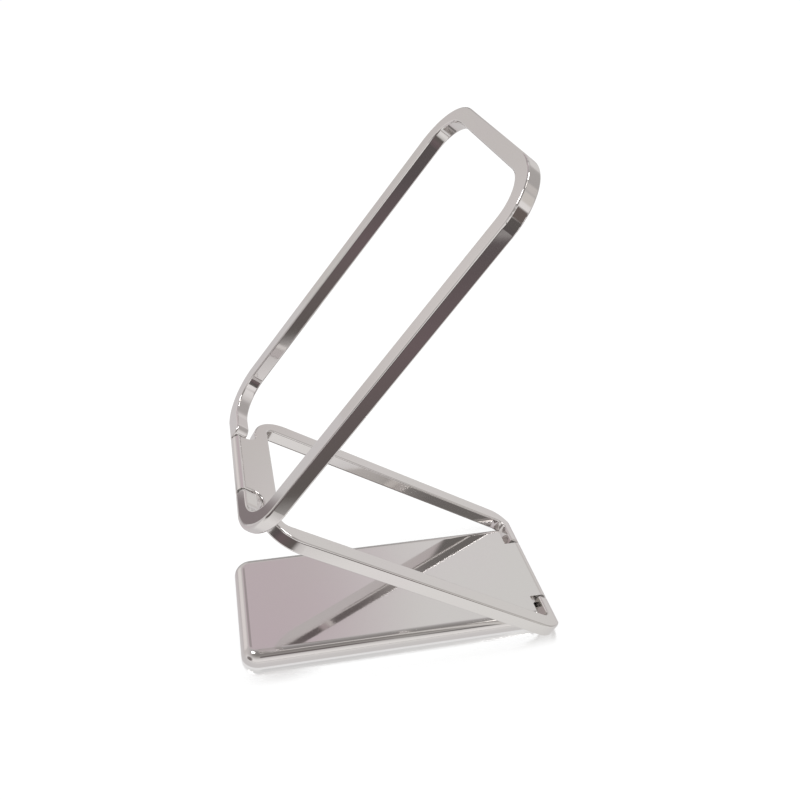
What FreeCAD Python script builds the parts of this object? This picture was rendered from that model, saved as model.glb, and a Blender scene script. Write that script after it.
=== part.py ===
"""A flat-folding phone stand: a base plate, a middle frame and an upper frame.

The two frames are rounded rings of flat bar.  Folded, the base plate lies inside the
middle frame and the middle frame lies inside the upper frame, all in one plane.  Opened,
they stand in a zigzag.  At each hinge a flat tongue on one leaf sits between the two
ears of the next leaf, on a steel pin pressed through the tongue, and the sprung ears
clamp a thin washer on each side of it, which holds the angle.

Millimetres.  +X runs along the base towards the lower hinge, +Y along the hinge pins and
+Z up.  The origin is on the face that the stand rests on, under the middle of the base
plate with its tongue.
Each leaf is drawn lying flat, with a hinge pin along the Y axis and half its thickness
above and half below Z = 0, and is then put in its place.
"""
import FreeCAD
import Part
import os

V = FreeCAD.Vector
ACROSS = V(0, 1, 0)
UP = V(0, 0, 1)
TINY = 1e-6

# Metal of all three leaves
THICKNESS = 3.0
EDGE_ROUNDING = 0.4
MIDDLE_GAP = 1.9            # round the middle frame when it lies inside the upper one
BASE_GAP = 0.65             # round the base plate when it lies inside the middle frame

# Pose
MIDDLE_ANGLE = 31.1         # middle frame above the base plate, degrees
UPPER_ANGLE = 52.5          # upper frame above the horizontal, degrees

# Upper frame
UPPER_LENGTH = 85.6
UPPER_WIDTH = 54.0
UPPER_RAIL = 3.7
UPPER_END_BAR = 3.3
UPPER_EAR_BAR = 3.9         # width of the bar that the ears are cut from
UPPER_CORNER = 11.0
UPPER_EAR_NOSE = 2.2        # rounding of the ears beside the tongue
UPPER_EAR_ROUNDING = 1.4    # of the ears' outer edges; it shrinks to the rails' own rounding

# Middle frame
MIDDLE_RAIL = 4.1
MIDDLE_END_BAR = 3.3
MIDDLE_CORNER = 6.0         # beside the lower hinge
MIDDLE_FAR_CORNER = 8.6     # beside the upper hinge
MIDDLE_INNER_CORNER = 2.0
NOTCH_DEPTH = 3.6           # from the upper pin to the end bar beside the tongue
NOTCH_ROUNDING = 2.7

# Base plate
BASE_CORNER = 4.0
BASE_HINGE_CORNER = 2.5
BASE_EDGE_ROUNDING = 2.5
BASE_SHOULDER = 2.6         # from the lower pin to the plate beside the tongue
TONGUE_ROOT = 6.0           # how far the tongue runs back into the plate

# Pad under the base plate
PAD_THICKNESS = 0.7
PAD_PROUD = 0.2
PAD_INSET = 3.2
PAD_CORNER = 2.0
PAD_CLEARANCE = 0.05

# Hinges, alike on both pins
TONGUE = 19.2               # width of a tongue, along the pin
PIN_DIAMETER = 1.6
PIN_IN_EAR = 4.0            # how far each end of a pin reaches into its ear
PIN_CHAMFER = 0.2
PIN_CLEARANCE = 0.04        # on the radius, in the ears and washers
PIN_END_SPACE = 0.3
WASHER_DIAMETER = 2.4
WASHER_THICKNESS = 0.7
WASHER_CLEARANCE = 0.05
EAR_GAP = WASHER_THICKNESS + 2 * WASHER_CLEARANCE
EARS_INSIDE = TONGUE + 2 * EAR_GAP
PIN_LENGTH = EARS_INSIDE + 2 * PIN_IN_EAR

# Sizes that follow from each leaf lying inside the next one
HALF = THICKNESS / 2
MIDDLE_WIDTH = UPPER_WIDTH - 2 * (UPPER_RAIL + MIDDLE_GAP)
BASE_WIDTH = MIDDLE_WIDTH - 2 * (MIDDLE_RAIL + BASE_GAP)
UPPER_REACH = UPPER_LENGTH - HALF
PIN_SPACING = UPPER_REACH - UPPER_END_BAR - MIDDLE_GAP - HALF
MIDDLE_REACH = PIN_SPACING - NOTCH_DEPTH
BASE_REACH = MIDDLE_REACH - MIDDLE_END_BAR - BASE_GAP


def block(start, end, width, low=-HALF, high=HALF):
    """A flat box from start to end along X, centred on Y."""
    return Part.makeBox(end - start, width, high - low, V(start, -width / 2, low))


def upright_edges(solid, wanted):
    """The solid's upright edges whose foot passes the test."""
    edges = [edge for edge in solid.Edges if edge.BoundBox.XLength + edge.BoundBox.YLength < TINY]
    return [edge for edge in edges if wanted(edge.Vertexes[0].Point)]


def rounded_block(start, end, width, corner, low=-HALF, high=HALF):
    """A flat box with all four of its upright edges rounded."""
    box = block(start, end, width, low, high)
    return box.makeFillet(corner, upright_edges(box, lambda foot: True))


def flat_edges(solid):
    """Every edge that lies in the top or the bottom face."""
    def lies_flat(edge):
        box = edge.BoundBox
        return box.ZLength < TINY and abs(abs(box.ZMin) - HALF) < TINY
    return [edge for edge in solid.Edges if lies_flat(edge)]


def cylinder_on_pin(diameter, length, x=0.0):
    """A cylinder along Y, centred on the flat leaf's pin line or x further on."""
    return Part.makeCylinder(diameter / 2, length, V(x, -length / 2, 0), ACROSS)


def round_end(solid, pin_x, far_x):
    """Keep what lies between the half-round end about a pin and the leaf's far end."""
    span = 2 * UPPER_WIDTH
    keep = block(min(pin_x, far_x), max(pin_x, far_x), span)
    return solid.common(keep.fuse(cylinder_on_pin(THICKNESS, span, pin_x)))


def ear_bores():
    """The blind holes in a pair of ears, as one cylinder across both."""
    return cylinder_on_pin(PIN_DIAMETER + 2 * PIN_CLEARANCE, PIN_LENGTH + 2 * PIN_END_SPACE)


def hinge_pin():
    """A plain steel pin with chamfered ends."""
    pin = cylinder_on_pin(PIN_DIAMETER, PIN_LENGTH)
    ends = [edge for edge in pin.Edges if edge.BoundBox.YLength < TINY]
    return pin.makeChamfer(PIN_CHAMFER, ends)


def hinge_washer(side):
    """The thin washer between the tongue and one ear."""
    middle = side * (TONGUE + EAR_GAP) / 2
    start = V(0, middle - WASHER_THICKNESS / 2, 0)
    disc = Part.makeCylinder(WASHER_DIAMETER / 2, WASHER_THICKNESS, start, ACROSS)
    bore = Part.makeCylinder(PIN_DIAMETER / 2 + PIN_CLEARANCE, WASHER_THICKNESS, start, ACROSS)
    return disc.cut(bore)


def base_plate():
    """The plate: a soft rounding on three sides, a tongue, and a recess for the pad.

    The plate lies along -X from the pin.
    """
    body = block(-BASE_REACH, 0, BASE_WIDTH)
    far_corners = upright_edges(body, lambda foot: foot.x < -BASE_REACH / 2)
    body = body.makeFillet(BASE_CORNER, far_corners)
    rim = [edge for edge in flat_edges(body) if edge.BoundBox.ZMin > 0 and edge.BoundBox.XMin < -HALF]
    body = body.makeFillet(BASE_EDGE_ROUNDING, rim)
    outline = rounded_block(-BASE_REACH - BASE_CORNER, -BASE_SHOULDER, BASE_WIDTH, BASE_HINGE_CORNER)
    body = body.common(outline)
    tongue = block(-BASE_SHOULDER - TONGUE_ROOT, HALF, TONGUE)
    body = body.fuse(round_end(tongue, 0, -BASE_REACH)).removeSplitter()
    recess = pad_outline(0, -HALF + PAD_THICKNESS - PAD_PROUD)
    return body.cut(recess).cut(cylinder_on_pin(PIN_DIAMETER, TONGUE))


def pad_outline(clearance, top):
    """The pad's rounded outline, less a clearance, from the stand's resting face up."""
    low = -HALF - PAD_PROUD
    inset = PAD_INSET + clearance
    return rounded_block(-BASE_REACH + inset, -BASE_SHOULDER - inset,
                         BASE_WIDTH - 2 * inset, PAD_CORNER, low, top)


def base_pad():
    return pad_outline(PAD_CLEARANCE, -HALF + PAD_THICKNESS - PAD_PROUD)


def middle_frame():
    """The ring between the two hinges: ears on the lower pin, a tongue on the upper one.

    It lies along +X from the lower pin.
    """
    body = block(-HALF, MIDDLE_REACH, MIDDLE_WIDTH)
    body = body.makeFillet(MIDDLE_CORNER, upright_edges(body, lambda foot: foot.x < 0))
    far_edges = upright_edges(body, lambda foot: foot.x > MIDDLE_REACH - TINY)
    body = body.makeFillet(MIDDLE_FAR_CORNER, far_edges)
    body = body.cut(rounded_block(HALF, MIDDLE_REACH - MIDDLE_END_BAR,
                                  MIDDLE_WIDTH - 2 * MIDDLE_RAIL, MIDDLE_INNER_CORNER))
    body = body.cut(block(-THICKNESS, THICKNESS, EARS_INSIDE))
    tongue = block(MIDDLE_REACH - MIDDLE_END_BAR / 2, PIN_SPACING + HALF, TONGUE)
    root_end = MIDDLE_REACH + NOTCH_ROUNDING
    root = block(MIDDLE_REACH - MIDDLE_END_BAR / 2, root_end, TONGUE + 2 * NOTCH_ROUNDING)
    for side in (-1, 1):
        foot = V(root_end, side * (TONGUE / 2 + NOTCH_ROUNDING), -HALF)
        root = root.cut(Part.makeCylinder(NOTCH_ROUNDING, THICKNESS, foot, UP))
    body = body.fuse(tongue).fuse(root).removeSplitter()
    body = body.makeFillet(EDGE_ROUNDING, flat_edges(body))
    body = round_end(round_end(body, 0, PIN_SPACING + THICKNESS), PIN_SPACING, -THICKNESS)
    upper_bore = cylinder_on_pin(PIN_DIAMETER, TONGUE, PIN_SPACING)
    return body.cut(ear_bores()).cut(upper_bore)


def rounded_ear(ear):
    """Round one ear: softly along its outer edges, like the rails along its inner ones."""
    for side in (-1, 1):
        arcs = [edge for edge in flat_edges(ear)
                if side * edge.BoundBox.ZMin > 0 and edge.BoundBox.XMin < -HALF + TINY
                and edge.BoundBox.XLength > UPPER_CORNER / 2]
        ear = ear.makeFillet(UPPER_EAR_ROUNDING, EDGE_ROUNDING, arcs)
    inner = [edge for edge in flat_edges(ear)
             if edge.BoundBox.XMin > 0 and edge.BoundBox.XLength > TINY]
    return ear.makeFillet(EDGE_ROUNDING, inner)


def upper_frame():
    """The large ring that the phone leans on, with ears on the upper pin.

    It lies along +X from the upper pin.
    """
    body = rounded_block(-HALF, UPPER_REACH, UPPER_WIDTH, UPPER_CORNER)
    body = body.cut(rounded_block(UPPER_EAR_BAR - HALF, UPPER_REACH - UPPER_END_BAR,
                                  UPPER_WIDTH - 2 * UPPER_RAIL, UPPER_CORNER - UPPER_RAIL))
    body = body.cut(block(-THICKNESS, 2 * THICKNESS, EARS_INSIDE))
    noses = upright_edges(body, lambda foot: foot.x > 0 and abs(foot.y) < EARS_INSIDE / 2 + TINY)
    body = body.makeFillet(UPPER_EAR_NOSE, noses)

    # The ears and the rest are rounded apart, for their roundings differ, and joined again.
    rail_start = UPPER_CORNER - HALF
    ring = body.common(block(rail_start, UPPER_LENGTH, UPPER_WIDTH))
    rims = [edge for edge in flat_edges(ring) if edge.BoundBox.XMax > rail_start + TINY]
    ring = ring.makeFillet(EDGE_ROUNDING, rims)
    for ear in body.common(block(-THICKNESS, rail_start, UPPER_WIDTH)).Solids:
        ring = ring.fuse(rounded_ear(ear))
    return round_end(ring, 0, UPPER_REACH + THICKNESS).cut(ear_bores())


def placed(shape, turn, pin):
    """Turn a flat leaf about its pin, in degrees about +Y, and put the pin in its place."""
    moved = shape.copy()
    moved.rotate(V(0, 0, 0), ACROSS, turn)
    moved.translate(pin)
    return moved


def save(name, shape):
    if not shape.isValid() or len(shape.Solids) != 1:
        raise ValueError(f"{name}: not one valid solid")
    shape.Solids[0].exportStep(f"parts/{name}.step")
    print(f"{name}: {shape.Volume:.1f} mm3")


def main():
    os.makedirs("parts", exist_ok=True)
    lower_pin = V((BASE_REACH - HALF) / 2, 0, PAD_PROUD + HALF)
    # The middle frame is drawn along +X and turned half round to rise along -X.
    middle_turn = 180 + MIDDLE_ANGLE
    along = FreeCAD.Rotation(ACROSS, middle_turn).multVec(V(PIN_SPACING, 0, 0))
    upper_pin = lower_pin + along

    save("base_plate", placed(base_plate(), 0, lower_pin))
    save("base_pad", placed(base_pad(), 0, lower_pin))
    save("lower_hinge_pin", placed(hinge_pin(), 0, lower_pin))
    save("middle_frame", placed(middle_frame(), middle_turn, lower_pin))
    save("upper_hinge_pin", placed(hinge_pin(), 0, upper_pin))
    save("upper_frame", placed(upper_frame(), -UPPER_ANGLE, upper_pin))
    for side, word in ((-1, "front"), (1, "back")):
        save(f"lower_{word}_washer", placed(hinge_washer(side), 0, lower_pin))
        save(f"upper_{word}_washer", placed(hinge_washer(side), 0, upper_pin))
    for word, pin in (("lower", lower_pin), ("upper", upper_pin)):
        print(f"{word} pin at {pin.x:.3f} {pin.z:.3f}")


main()
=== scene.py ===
"""The looks of a flat-folding phone stand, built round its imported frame.

The stand is mirror-bright plated metal, so most of its look is what it reflects.  The metal
sees a designed room, grey with soft panels, and a table with darker and lighter areas.
Everything else sees plain white.  Metres throughout, in the frame's own axes.
"""
import math

import bpy
from mathutils import Matrix, Vector

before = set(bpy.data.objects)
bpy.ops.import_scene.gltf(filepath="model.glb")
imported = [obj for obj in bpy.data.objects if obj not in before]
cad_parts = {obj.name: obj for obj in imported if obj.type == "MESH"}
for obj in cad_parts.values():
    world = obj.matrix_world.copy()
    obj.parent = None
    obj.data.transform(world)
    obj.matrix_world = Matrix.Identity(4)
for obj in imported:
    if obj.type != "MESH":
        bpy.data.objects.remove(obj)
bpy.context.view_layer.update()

# Camera
CAMERA_PLACE = (-0.03344, -0.15571, 0.14867)
CAMERA_YAW = 12.66          # degrees to the right of +Y
CAMERA_PITCH = 30.63        # degrees below the horizon
CAMERA_ROLL = 1.23          # degrees, the top leaning to the right
CAMERA_LENS = 40.15         # millimetres
SENSOR_WIDTH = 36.0         # millimetres
CAMERA_CLIP_START = 0.005

WHITE = (1, 1, 1, 1)
WHITE_GLOW = 1.03           # strength of the white that everything but the metal sees

# Lamps
LAMP_SIZE = 0.26
LAMP_POWER = 1.1
LAMP_PLACES = (
    ("lamp_left", (-0.42, 0.10, 0.90)),
    ("lamp_right", (0.42, 0.10, 0.90)),
)

# The table as it is seen directly
FLOOR_HALF_SIZE = 3.0
FLOOR_DROP = 0.0001         # below the stand's underside
FLOOR_PAINT = (0.95, 0.95, 0.95, 1)
FLOOR_SHADED = 0.25         # share of its white that takes shadows
FLOOR_GLOSS = 0.5           # share of the mirror image in its look
FLOOR_BLUR = 0.10           # how far the mirror image is scattered
FLOOR_GLOSS_REACH = (0.039, 0.0185)  # it is seen this far from the middle, along X and Y
FLOOR_GLOSS_FADE = 0.004

# The table as the metal sees it: colours from front to back along Y
FLOOR_BAND_REACH = 0.5
FLOOR_BANDS = (
    (-0.500, (0.115, 0.105, 0.10)),
    (-0.290, (0.105, 0.090, 0.092)),
    (-0.180, (0.160, 0.122, 0.128)),
    (-0.097, (0.125, 0.112, 0.105)),
    (-0.082, (0.62, 0.60, 0.59)),
    (-0.055, (0.84, 0.82, 0.81)),
    (-0.028, (0.80, 0.785, 0.775)),
    (-0.017, (0.66, 0.645, 0.645)),
    (0.028, (0.60, 0.55, 0.56)),
    (0.060, (0.66, 0.64, 0.64)),
    (0.200, (0.66, 0.64, 0.64)),
)

# Areas laid over the bands.  Each edge says where it starts to show and where it is full.
WEDGE_COLOUR = (0.26, 0.225, 0.23)   # a dark slanted area to the left
WEDGE_SLOPE = 1.15                   # its long edges keep Y + slope * X constant
WEDGE_NEAR = (-0.085, -0.06)
WEDGE_FAR = (0.012, -0.014)
WEDGE_RIGHT = (-0.075, -0.16)
STRIPE_COLOUR = (0.36, 0.34, 0.335)  # a light stripe in front, to the right
STRIPE_FRONT = (-0.298, -0.292)
STRIPE_BACK = (-0.279, -0.284)
STRIPE_LEFT = (0.090, 0.100)
PAINTED_SHADE_COLOUR = (0.19, 0.18, 0.175)   # painted shade just behind the base, a darker patch in the table's glow standing in for its shadow
PAINTED_SHADE_FRONT = (0.0150, 0.0175)
PAINTED_SHADE_BACK = (0.037, 0.034)
PAINTED_SHADE_SIDES = (0.040, 0.035)

# The room as the metal sees it: colours by height, 0 at the horizon and 1 straight up
ROOM_BACK = (
    (0.0, (0.62, 0.59, 0.58)),
    (0.45, (0.63, 0.60, 0.59)),
    (0.68, (0.57, 0.54, 0.54)),
    (0.85, (0.48, 0.46, 0.46)),
    (0.93, (0.37, 0.355, 0.35)),
    (1.0, (0.27, 0.255, 0.25)),
)
ROOM_FRONT = (
    (0.0, (0.86, 0.84, 0.83)),
    (0.22, (0.86, 0.84, 0.83)),
    (0.40, (0.79, 0.77, 0.76)),
    (0.54, (0.64, 0.62, 0.61)),
    (0.70, (0.47, 0.45, 0.44)),
    (0.80, (0.34, 0.325, 0.31)),
    (0.93, (0.25, 0.235, 0.225)),
    (1.0, (0.27, 0.255, 0.25)),
)
ROOM_TURN = 0.35            # the front gives way to the back between minus and plus this, along Y
ROOM_PANELS = (             # azimuth, elevation, full within, gone beyond (degrees), colour
    (80, 18, 18, 36, (0.45, 0.43, 0.42)),
    (97, 23, 4, 9, (0.60, 0.57, 0.55)),
    (116, 20, 5, 10, (0.66, 0.63, 0.60)),
    (138, 3, 8, 12, (0.15, 0.125, 0.115)),
    (160, 38, 4, 8, (0.20, 0.19, 0.185)),
    (177, 45, 4, 9, (0.17, 0.15, 0.15)),
    (112, 66, 5, 9, (2.6, 2.5, 2.4)),
    (-40, 16, 6, 20, (0.80, 0.76, 0.75)),
    (19, 42, 4, 16, (0.72, 0.705, 0.70)),
    (-10, 42, 8, 20, (0.57, 0.495, 0.52)),
    (-15, 43, 3, 8, (0.38, 0.34, 0.345)),
    (-115, 12, 8, 22, (0.22, 0.20, 0.195)),
    (4, 12, 5, 12, (0.30, 0.29, 0.29)),
    (43, 8, 6, 14, (0.71, 0.69, 0.68)),
)

# Noise in the materials: the part of its range that is used
TINT_RANGE = (0.3, 0.7)
HAZE_RANGE = (0.25, 0.75)
FINE_DETAIL = 4.0
WAVE_DETAIL = 2.0
EVEN = (1, 1, 1)            # stretched along no axis


def new_material(name):
    """A node material with no nodes yet, and its node tree."""
    material = bpy.data.materials.new(name)
    material.use_nodes = True
    tree = material.node_tree
    tree.nodes.clear()
    return material, tree


def add(tree, kind, **settings):
    node = tree.nodes.new("ShaderNode" + kind)
    for key, value in settings.items():
        setattr(node, key, value)
    return node


def link(tree, source, output, target, socket):
    tree.links.new(source.outputs[output], target.inputs[socket])


def maths(tree, operation, first, second):
    """A Math node whose inputs are numbers or (node, output) pairs."""
    node = add(tree, "Math", operation=operation)
    for index, value in enumerate((first, second)):
        if isinstance(value, tuple):
            link(tree, *value, node, index)
        else:
            node.inputs[index].default_value = value
    return node


def vector_maths(tree, operation, source, output, constant=None):
    """A Vector Math node between a node's output and, where it needs one, a fixed vector."""
    node = add(tree, "VectorMath", operation=operation)
    link(tree, source, output, node, 0)
    if constant is not None:
        node.inputs[1].default_value = constant
    return node


def map_range(tree, source, output, start, end, low=0.0, high=1.0, kind="LINEAR"):
    mapped = add(tree, "MapRange", interpolation_type=kind)
    mapped.inputs["From Min"].default_value = start
    mapped.inputs["From Max"].default_value = end
    mapped.inputs["To Min"].default_value = low
    mapped.inputs["To Max"].default_value = high
    link(tree, source, output, mapped, "Value")
    return mapped


def colour_ramp(tree, source, output, stops):
    """A ramp with a colour at each (position, colour) stop."""
    ramp = add(tree, "ValToRGB")
    elements = ramp.color_ramp.elements
    for index, (position, colour) in enumerate(stops):
        element = elements[index] if index < 2 else elements.new(position)
        element.position = position
        element.color = (*colour, 1)
    link(tree, source, output, ramp, "Fac")
    return ramp


def mask(tree, steps):
    """A share that is full where every step is: (source, output, (start, end)) each."""
    share = None
    for source, output, (start, end) in steps:
        step = (map_range(tree, source, output, start, end, kind="SMOOTHSTEP"), "Result")
        share = step if share is None else (maths(tree, "MULTIPLY", share, step), "Value")
    return share


def lay_over(tree, below, share, colour):
    """A colour over another one, by its share; below and share are (node, output) pairs."""
    mix = add(tree, "MixRGB")
    mix.inputs["Color2"].default_value = (*colour, 1)
    link(tree, *share, mix, "Fac")
    link(tree, *below, mix, "Color1")
    return mix, "Color"


def mix_shaders(tree, share, first, second):
    """Two shaders mixed; the share is a number or a (node, output) pair."""
    mix = add(tree, "MixShader")
    if isinstance(share, tuple):
        link(tree, *share, mix, "Fac")
    else:
        mix.inputs["Fac"].default_value = share
    link(tree, *first, mix, 1)
    link(tree, *second, mix, 2)
    return mix, "Shader"


def noise(tree, place, scale, stretch, detail):
    """Noise over the piece's own coordinates, in metres, stretched along chosen axes."""
    mapping = add(tree, "Mapping")
    mapping.inputs["Scale"].default_value = stretch
    link(tree, place, "Object", mapping, "Vector")
    texture = add(tree, "TexNoise")
    texture.inputs["Scale"].default_value = scale
    texture.inputs["Detail"].default_value = detail
    link(tree, mapping, "Vector", texture, "Vector")
    return texture


def surface(name, metallic, tint, haze, relief):
    """A Principled surface whose tint, roughness and relief each follow their own noise."""
    material, tree = new_material(name)
    out = add(tree, "OutputMaterial")
    shader = add(tree, "BsdfPrincipled")
    shader.inputs["Metallic"].default_value = metallic
    link(tree, shader, "BSDF", out, "Surface")
    place = add(tree, "TexCoord")

    stain = noise(tree, place, tint["scale"], tint["stretch"], FINE_DETAIL)
    stops = zip(TINT_RANGE, (tint["dark"], tint["light"]))
    link(tree, colour_ramp(tree, stain, "Fac", stops), "Color", shader, "Base Color")

    film = noise(tree, place, haze["scale"], haze["stretch"], FINE_DETAIL)
    roughness = map_range(tree, film, "Fac", *HAZE_RANGE, haze["smooth"], haze["dull"])
    link(tree, roughness, "Result", shader, "Roughness")

    waves = noise(tree, place, relief["scale"], relief["stretch"], WAVE_DETAIL)
    bump = add(tree, "Bump")
    bump.inputs["Strength"].default_value = relief["strength"]
    bump.inputs["Distance"].default_value = relief["height"]
    link(tree, waves, "Fac", bump, "Height")
    link(tree, bump, "Normal", shader, "Normal")
    return material


def polished_metal():
    """Plated metal: a nearly perfect mirror with a faint haze and a breath of warmth."""
    return surface(
        "polished_metal_look", 1.0,
        dict(scale=48.0, stretch=EVEN, dark=(0.815, 0.785, 0.785), light=(0.81, 0.80, 0.78)),
        dict(scale=70.0, stretch=EVEN, smooth=0.03, dull=0.085),
        dict(scale=240.0, stretch=EVEN, strength=0.02, height=0.0002))


def ground_steel():
    """Pins: bare steel ground to size, with fine rings round the pin."""
    return surface(
        "pin_steel_look", 1.0,
        dict(scale=300.0, stretch=(1, 6, 1), dark=(0.42, 0.41, 0.40), light=(0.58, 0.57, 0.55)),
        dict(scale=700.0, stretch=(1, 8, 1), smooth=0.18, dull=0.38),
        dict(scale=900.0, stretch=(0.2, 8, 0.2), strength=0.15, height=0.00002))


def stamped_steel():
    """Washers: thin stamped spring steel, a little darker and duller than the pins."""
    return surface(
        "washer_steel_look", 1.0,
        dict(scale=500.0, stretch=EVEN, dark=(0.30, 0.295, 0.29), light=(0.47, 0.46, 0.445)),
        dict(scale=900.0, stretch=(6, 1, 1), smooth=0.26, dull=0.46),
        dict(scale=1400.0, stretch=(6, 1, 1), strength=0.2, height=0.00002))


def soft_pad():
    """The pad under the base: dark rubber with a fine grain and a little dust."""
    return surface(
        "pad_look", 0.0,
        dict(scale=900.0, stretch=EVEN, dark=(0.022, 0.022, 0.024), light=(0.060, 0.059, 0.058)),
        dict(scale=260.0, stretch=EVEN, smooth=0.62, dull=0.88),
        dict(scale=2600.0, stretch=EVEN, strength=0.5, height=0.00006))


def dress(nodes, material):
    for name in nodes:
        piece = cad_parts[name]
        piece.data.materials.clear()
        piece.data.materials.append(material)


def floor_seen(tree, place, axes):
    """White, with a faint scattered mirror image of the stand close round its base."""
    glow = add(tree, "Emission")
    glow.inputs["Color"].default_value = WHITE
    glow.inputs["Strength"].default_value = WHITE_GLOW
    paint = add(tree, "BsdfDiffuse")
    paint.inputs["Color"].default_value = FLOOR_PAINT
    white = mix_shaders(tree, FLOOR_SHADED, (glow, "Emission"), (paint, "BSDF"))

    grain = add(tree, "TexWhiteNoise")
    link(tree, place, "Object", grain, "Vector")
    centred = vector_maths(tree, "SUBTRACT", grain, "Color", (0.5, 0.5, 0.5))
    lean = vector_maths(tree, "MULTIPLY", centred, "Vector", (FLOOR_BLUR, FLOOR_BLUR, 0))
    tilted = vector_maths(tree, "ADD", lean, "Vector", (0, 0, 1))
    upright = vector_maths(tree, "NORMALIZE", tilted, "Vector")
    mirror = add(tree, "BsdfAnisotropic")
    mirror.inputs["Color"].default_value = WHITE
    mirror.inputs["Roughness"].default_value = 0.0
    link(tree, upright, "Vector", mirror, "Normal")

    steps = []
    for axis, reach in zip("XY", FLOOR_GLOSS_REACH):
        away = maths(tree, "ABSOLUTE", (axes, axis), 0)
        steps.append((away, "Value", (reach + FLOOR_GLOSS_FADE, reach)))
    share = maths(tree, "MULTIPLY", mask(tree, steps), FLOOR_GLOSS)
    return mix_shaders(tree, (share, "Value"), white, (mirror, "BSDF"))


def floor_in_metal(tree, axes):
    """Bands across the table and three areas laid over them, glowing by themselves; the third is
    painted shade just behind the base.
    """
    span = 2 * FLOOR_BAND_REACH
    along = map_range(tree, axes, "Y", -FLOOR_BAND_REACH, FLOOR_BAND_REACH)
    stops = [((place_y + FLOOR_BAND_REACH) / span, colour) for place_y, colour in FLOOR_BANDS]
    pattern = (colour_ramp(tree, along, "Result", stops), "Color")

    slanted = maths(tree, "MULTIPLY_ADD", (axes, "X"), WEDGE_SLOPE)
    link(tree, axes, "Y", slanted, 2)
    wedge = mask(tree, ((slanted, "Value", WEDGE_NEAR), (slanted, "Value", WEDGE_FAR),
                        (axes, "X", WEDGE_RIGHT)))
    pattern = lay_over(tree, pattern, wedge, WEDGE_COLOUR)

    stripe = mask(tree, ((axes, "Y", STRIPE_FRONT), (axes, "Y", STRIPE_BACK),
                         (axes, "X", STRIPE_LEFT)))
    pattern = lay_over(tree, pattern, stripe, STRIPE_COLOUR)

    # painted shade: the table's glow darkened just behind the base, standing in for the base's
    # shadow
    beside = maths(tree, "ABSOLUTE", (axes, "X"), 0)
    painted_shade = mask(tree, ((axes, "Y", PAINTED_SHADE_FRONT), (axes, "Y", PAINTED_SHADE_BACK),
                        (beside, "Value", PAINTED_SHADE_SIDES)))
    pattern = lay_over(tree, pattern, painted_shade, PAINTED_SHADE_COLOUR)

    glow = add(tree, "Emission")
    link(tree, *pattern, glow, "Color")
    return glow, "Emission"


def floor():
    """A white glossy table, with one look seen directly and another one in the metal."""
    far = FLOOR_HALF_SIZE
    mesh = bpy.data.meshes.new("floor")
    corners = [(-far, -far, 0), (far, -far, 0), (far, far, 0), (-far, far, 0)]
    mesh.from_pydata(corners, [], [(0, 1, 2, 3)])
    piece = bpy.data.objects.new("floor", mesh)
    bpy.context.scene.collection.objects.link(piece)
    piece.location.z = -FLOOR_DROP

    material, tree = new_material("floor_look")
    out = add(tree, "OutputMaterial")
    place = add(tree, "TexCoord")
    axes = add(tree, "SeparateXYZ")
    link(tree, place, "Object", axes, "Vector")
    path = add(tree, "LightPath")
    look = mix_shaders(tree, (path, "Is Glossy Ray"),
                       floor_seen(tree, place, axes), floor_in_metal(tree, axes))
    link(tree, *look, out, "Surface")
    mesh.materials.append(material)


def towards(azimuth, elevation):
    """A unit vector: azimuth 0 is +Y and 90 is +X, elevation 90 is straight up, in degrees."""
    az = math.radians(azimuth)
    el = math.radians(elevation)
    return Vector((math.sin(az) * math.cos(el), math.cos(az) * math.cos(el), math.sin(el)))


def room_in_metal(tree):
    """The room's colour: front and back by height, with soft round panels laid over them."""
    place = add(tree, "TexCoord")
    axes = add(tree, "SeparateXYZ")
    link(tree, place, "Generated", axes, "Vector")
    back = colour_ramp(tree, axes, "Z", ROOM_BACK)
    front = colour_ramp(tree, axes, "Z", ROOM_FRONT)
    turn = map_range(tree, axes, "Y", -ROOM_TURN, ROOM_TURN, kind="SMOOTHSTEP")
    blend = add(tree, "MixRGB")
    link(tree, turn, "Result", blend, "Fac")
    link(tree, front, "Color", blend, "Color1")
    link(tree, back, "Color", blend, "Color2")

    colour_so_far = (blend, "Color")
    for azimuth, elevation, inner, outer, colour in ROOM_PANELS:
        facing = vector_maths(tree, "DOT_PRODUCT", place, "Generated", towards(azimuth, elevation))
        rim = (math.cos(math.radians(outer)), math.cos(math.radians(inner)))
        share = mask(tree, ((facing, "Value", rim),))
        colour_so_far = lay_over(tree, colour_so_far, share, colour)
    return colour_so_far


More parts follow.
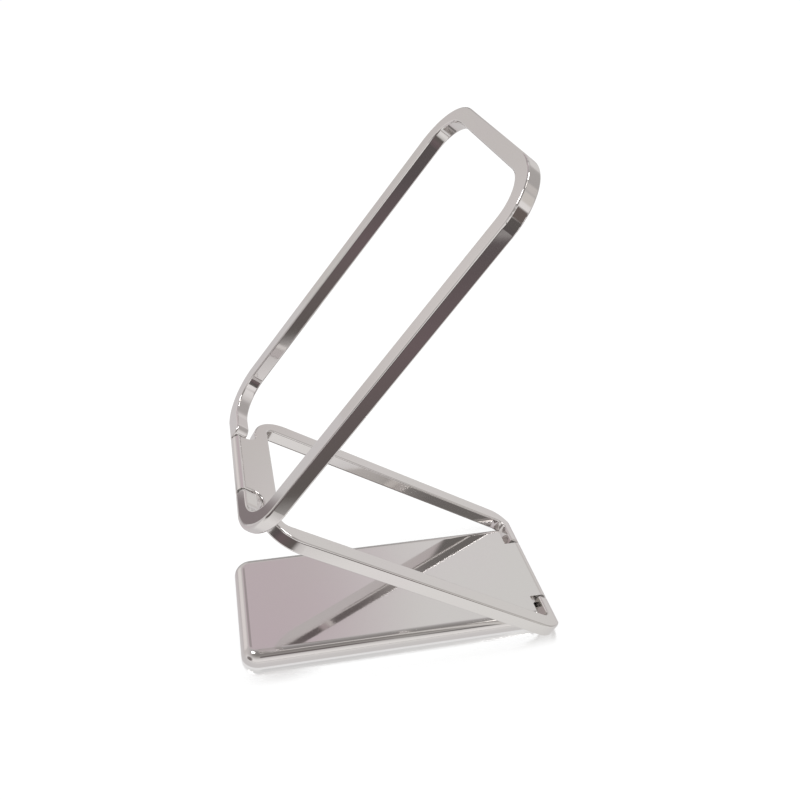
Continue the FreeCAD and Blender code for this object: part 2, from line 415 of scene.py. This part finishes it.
def surroundings():
    """White for everything but the metal, and a soft room for the metal to mirror.

    The metal is slightly rough and the table's mirror image is perfectly sharp, which is how
    the two kinds of reflection are told apart.
    """
    world = bpy.data.worlds.new("room")
    world.use_nodes = True
    bpy.context.scene.world = world
    tree = world.node_tree
    tree.nodes.clear()
    out = add(tree, "OutputWorld")
    seen = add(tree, "Background")
    seen.inputs["Color"].default_value = WHITE
    seen.inputs["Strength"].default_value = WHITE_GLOW
    room = add(tree, "Background")
    link(tree, *room_in_metal(tree), room, "Color")
    path = add(tree, "LightPath")
    in_metal = maths(tree, "SUBTRACT", (path, "Is Glossy Ray"), (path, "Is Singular Ray"))
    look = mix_shaders(tree, (in_metal, "Value"), (seen, "Background"), (room, "Background"))
    link(tree, *look, out, "Surface")


def lamp(name, place):
    """A small round lamp that looks at the stand."""
    light = bpy.data.lights.new(name, "AREA")
    light.shape = "DISK"
    light.size = LAMP_SIZE
    light.energy = LAMP_POWER
    piece = bpy.data.objects.new(name, light)
    bpy.context.scene.collection.objects.link(piece)
    piece.location = place
    piece.rotation_euler = (-Vector(place)).to_track_quat("-Z", "Y").to_euler()


def camera():
    data = bpy.data.cameras.new("camera")
    data.lens = CAMERA_LENS
    data.sensor_width = SENSOR_WIDTH
    data.clip_start = CAMERA_CLIP_START
    piece = bpy.data.objects.new("camera", data)
    bpy.context.scene.collection.objects.link(piece)
    yaw = math.radians(CAMERA_YAW)
    pitch = math.radians(CAMERA_PITCH)
    roll = math.radians(CAMERA_ROLL)
    level = Vector((math.sin(yaw), math.cos(yaw), 0)) * math.cos(pitch)
    ahead = level - Vector((0, 0, math.sin(pitch)))
    right = Vector((math.cos(yaw), -math.sin(yaw), 0))
    up = right.cross(ahead)
    leaning_right = right * math.cos(roll) + up * math.sin(roll)
    leaning_up = up * math.cos(roll) - right * math.sin(roll)
    turn = Matrix((leaning_right, leaning_up, -ahead)).transposed()
    piece.matrix_world = Matrix.Translation(CAMERA_PLACE) @ turn.to_4x4()
    bpy.context.scene.camera = piece


dress(("base_plate", "middle_frame", "upper_frame"), polished_metal())
dress(("lower_hinge_pin", "upper_hinge_pin"), ground_steel())
dress(("lower_front_washer", "lower_back_washer", "upper_front_washer", "upper_back_washer"),
      stamped_steel())
dress(("base_pad",), soft_pad())
for lamp_name, lamp_place in LAMP_PLACES:
    lamp(lamp_name, lamp_place)
floor()
surroundings()
camera()
bpy.context.scene.view_settings.view_transform = "Standard"
